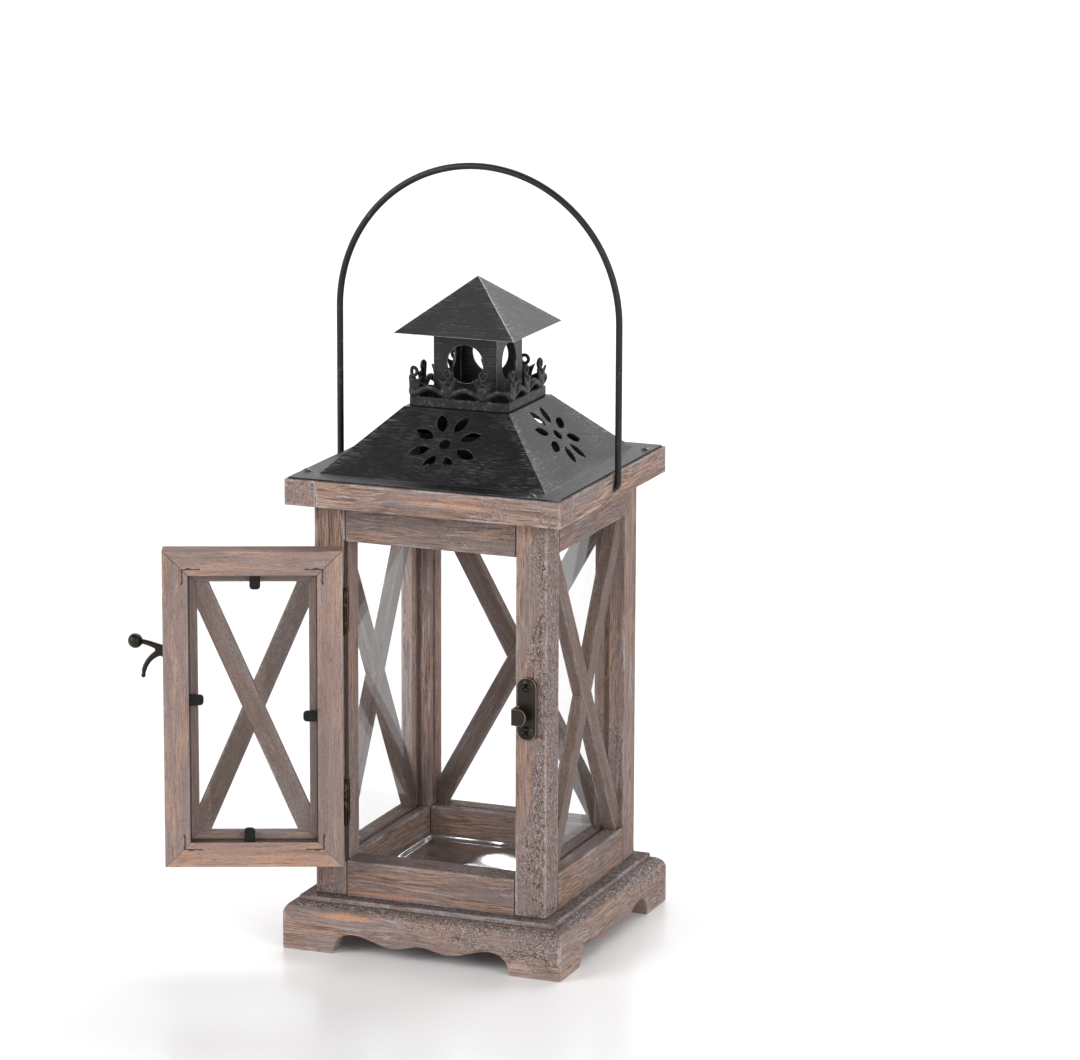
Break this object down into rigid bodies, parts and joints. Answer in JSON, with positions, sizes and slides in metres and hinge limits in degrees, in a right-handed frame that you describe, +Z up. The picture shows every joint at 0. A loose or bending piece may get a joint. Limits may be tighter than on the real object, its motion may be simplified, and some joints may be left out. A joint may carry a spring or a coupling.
{
  "type": "hanging lantern",
  "caption": "Square wooden candle lantern with glass sides, a hinged door, a sheet-metal roof with a pierced cupola, and a wire bail to hang or carry it by.",
  "frame": {"origin": "centre of the square base, on the plane of the feet", "axes": "+Z up, -Y towards the side with the door, +X to the right of someone who faces that side"},
  "size_m": [0.1857, 0.1557, 0.3269],
  "materials": {
    "washed_wood": "weathered grey-brown whitewash over pine, matt",
    "door_wood": "weathered grey-brown whitewash with worn orange edges, matt",
    "slat_wood": "grey-brown stained thin slats, matt",
    "roof_sheet": "brushed charcoal-black painted sheet, satin",
    "gallery_cast": "charcoal-black stamped metal with rubbed edges, satin",
    "roof_screw": "black screws with worn cross slots",
    "bail_wire": "black painted wire, satin",
    "clear_glass": "clear window glass",
    "tray_steel": "bright galvanised sheet",
    "hinge_brass": "brass-plated steel",
    "latch_bronze": "antique bronze, dark with rubbed brass edges",
    "clip_black": "black glass clips"
  },
  "bodies": {
    "lantern": {"plinth_front": "washed_wood", "plinth_right": "washed_wood", "plinth_rear": "washed_wood", "plinth_left": "washed_wood", "base_panel": "washed_wood", "floor_tray": "tray_steel", "post_front_left": "washed_wood", "post_front_right": "washed_wood", "post_rear_right": "washed_wood", "post_rear_left": "washed_wood", "bottom_rail_front": "washed_wood", "bottom_rail_right": "washed_wood", "bottom_rail_rear": "washed_wood", "bottom_rail_left": "washed_wood", "top_rail_front": "washed_wood", "top_rail_right": "washed_wood", "top_rail_rear": "washed_wood", "top_rail_left": "washed_wood", "right_long_slat": "slat_wood", "right_short_slats": "slat_wood", "rear_long_slat": "slat_wood", "rear_short_slats": "slat_wood", "left_long_slat": "slat_wood", "left_short_slats": "slat_wood", "right_glass": "clear_glass", "rear_glass": "clear_glass", "left_glass": "clear_glass", "top_board_front": "washed_wood", "top_board_right": "washed_wood", "top_board_rear": "washed_wood", "top_board_left": "washed_wood", "metal_roof": "roof_sheet", "roof_screws": "roof_screw", "roof_gallery": "gallery_cast", "cupola_tower": "roof_sheet", "cupola_roof": "roof_sheet", "upper_hinge_post_leaf": "hinge_brass", "lower_hinge_post_leaf": "hinge_brass", "upper_hinge_pin": "hinge_brass", "lower_hinge_pin": "hinge_brass", "post_leaf_screws": "hinge_brass", "catch_plate": "latch_bronze", "catch_screws": "latch_bronze"},
    "door": {"door_hinge_stile": "door_wood", "door_latch_stile": "door_wood", "door_top_rail": "door_wood", "door_bottom_rail": "door_wood", "door_long_slat": "slat_wood", "door_short_slats": "slat_wood", "door_glass": "clear_glass", "glass_clips": "clip_black", "upper_hinge_door_leaf": "hinge_brass", "lower_hinge_door_leaf": "hinge_brass", "door_leaf_screws": "hinge_brass", "latch_plate": "latch_bronze", "latch_rivet": "latch_bronze", "latch_screws": "latch_bronze"},
    "latch_lever": {"latch_lever": "latch_bronze"},
    "bail": {"bail_handle": "bail_wire"}
  },
  "joints": [
    {"name": "door_hinge", "type": "hinge", "parent": "lantern", "child": "door", "pos_m": [-0.0376, -0.0533, 0.1062], "axis": [0, 0, 1], "range_deg": [-18, 157]},
    {"name": "latch_pivot", "type": "hinge", "parent": "door", "child": "latch_lever", "pos_m": [-0.09943, -0.08139, 0.1203], "axis": [0.3907, -0.9205, 0], "range_deg": [-35, 36.7]},
    {"name": "bail_swing", "type": "hinge", "parent": "lantern", "child": "bail", "pos_m": [0, 0, 0.1945], "axis": [1, 0, 0], "range_deg": [-140, 97]}
  ]
}
